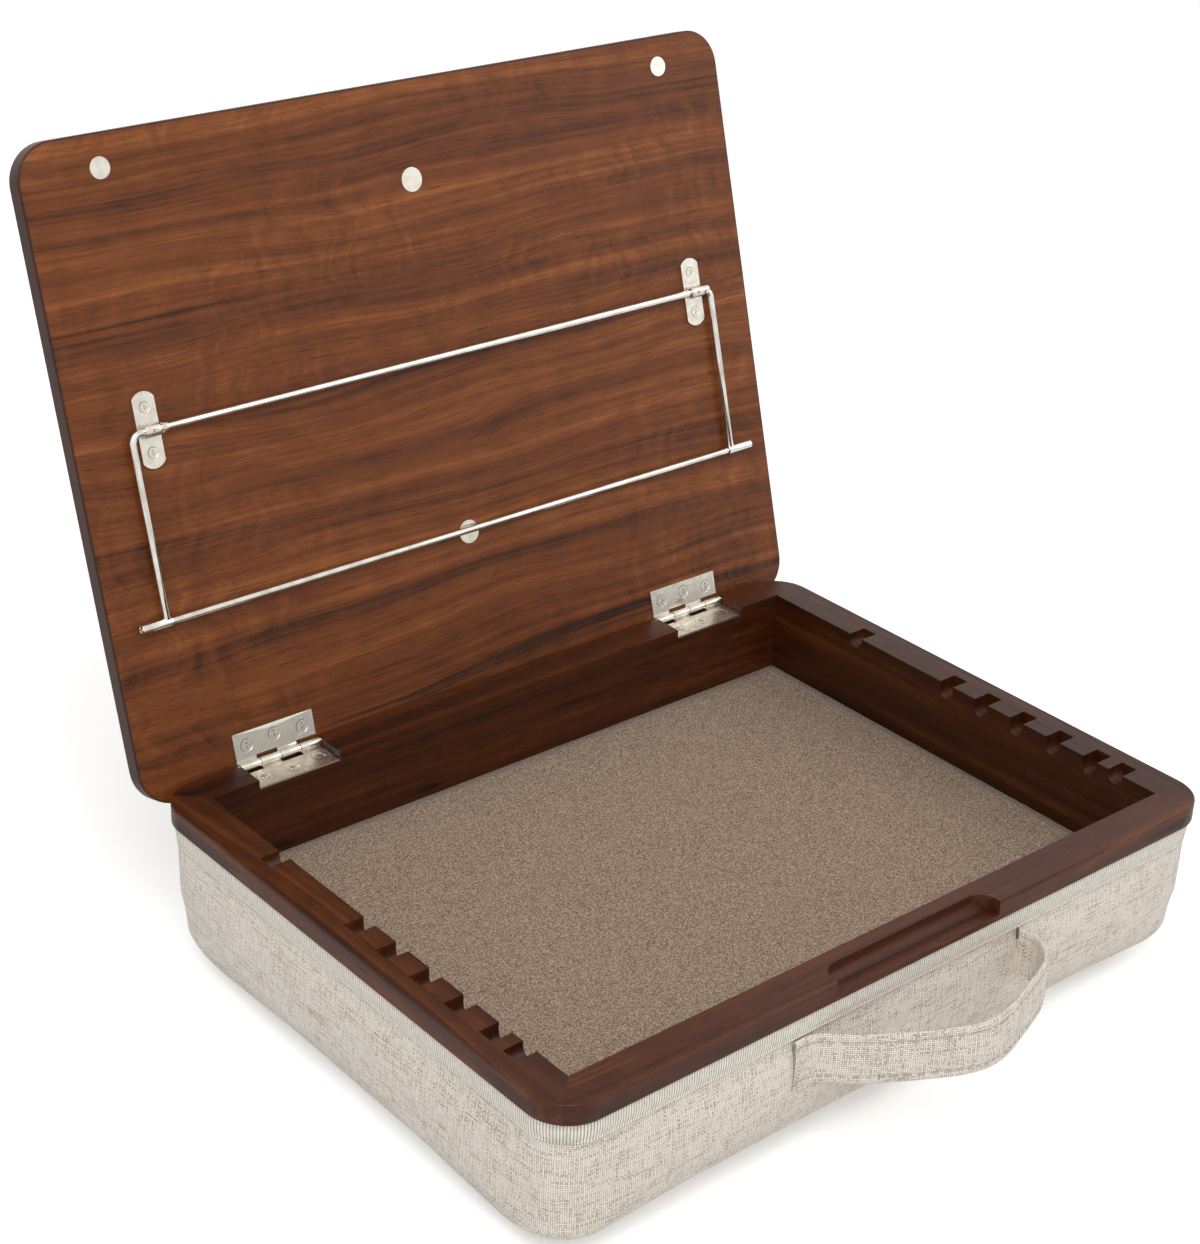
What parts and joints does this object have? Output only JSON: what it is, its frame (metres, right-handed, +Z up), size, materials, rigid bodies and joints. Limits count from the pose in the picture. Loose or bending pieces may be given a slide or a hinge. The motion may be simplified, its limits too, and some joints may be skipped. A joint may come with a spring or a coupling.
{
  "type": "lap desk",
  "caption": "Lap desk: a lined wooden tray on a fabric cushion with a strap handle, and a hinged lid with a folding wire stand that drops into notched side rails.",
  "frame": {"origin": "middle of the flat patch on the cushion's underside that the desk rests on", "axes": "+X to the right seen from the handle side, +Y from the handle side towards the hinges, +Z up; the lid is stored open on its stop, with the stand folded against it"},
  "size_m": [0.3988, 0.4226, 0.3656],
  "materials": {
    "stained_wood": "satin",
    "plywood": "matte",
    "liner": "matte",
    "cushion_fill": "matte",
    "linen": "matte",
    "twill_tape": "matte",
    "satin_nickel": "satin",
    "bright_nickel": "polished",
    "plain_steel": "satin"
  },
  "bodies": {
    "tray": {"rim_rail_front": "stained_wood", "rim_rail_back": "stained_wood", "rim_rail_left": "stained_wood", "rim_rail_right": "stained_wood", "floor_board": "plywood", "floor_liner": "liner", "floor_screws": "plain_steel", "cushion_core": "cushion_fill", "fabric_cover": "linen", "binding_tape": "twill_tape", "carry_handle": "linen", "hinge_leaf_lower_left": "satin_nickel", "hinge_leaf_lower_right": "satin_nickel", "hinge_pin_left": "satin_nickel", "hinge_pin_right": "satin_nickel", "rail_hinge_screws": "satin_nickel", "strike_discs": "plain_steel"},
    "lid": {"lid_panel": "stained_wood", "hinge_leaf_upper_left": "satin_nickel", "hinge_leaf_upper_right": "satin_nickel", "lid_hinge_screws": "satin_nickel", "catch_magnets": "satin_nickel", "stand_magnets": "satin_nickel", "stand_bracket_left": "satin_nickel", "stand_bracket_right": "satin_nickel", "bracket_screws": "satin_nickel"},
    "stand": {"stand_wire": "bright_nickel", "cross_rod": "bright_nickel", "rod_sleeves": "bright_nickel"}
  },
  "joints": [
    {"name": "lid_hinge", "type": "hinge", "parent": "tray", "child": "lid", "pos_m": [0, 0.1454, 0.0837], "axis": [1, 0, 0], "range_deg": [0, 106]},
    {"name": "stand_pivot", "type": "hinge", "parent": "lid", "child": "stand", "pos_m": [0, 0.18993, 0.24092], "axis": [-1, 0, 0], "range_deg": [0, 180]}
  ]
}
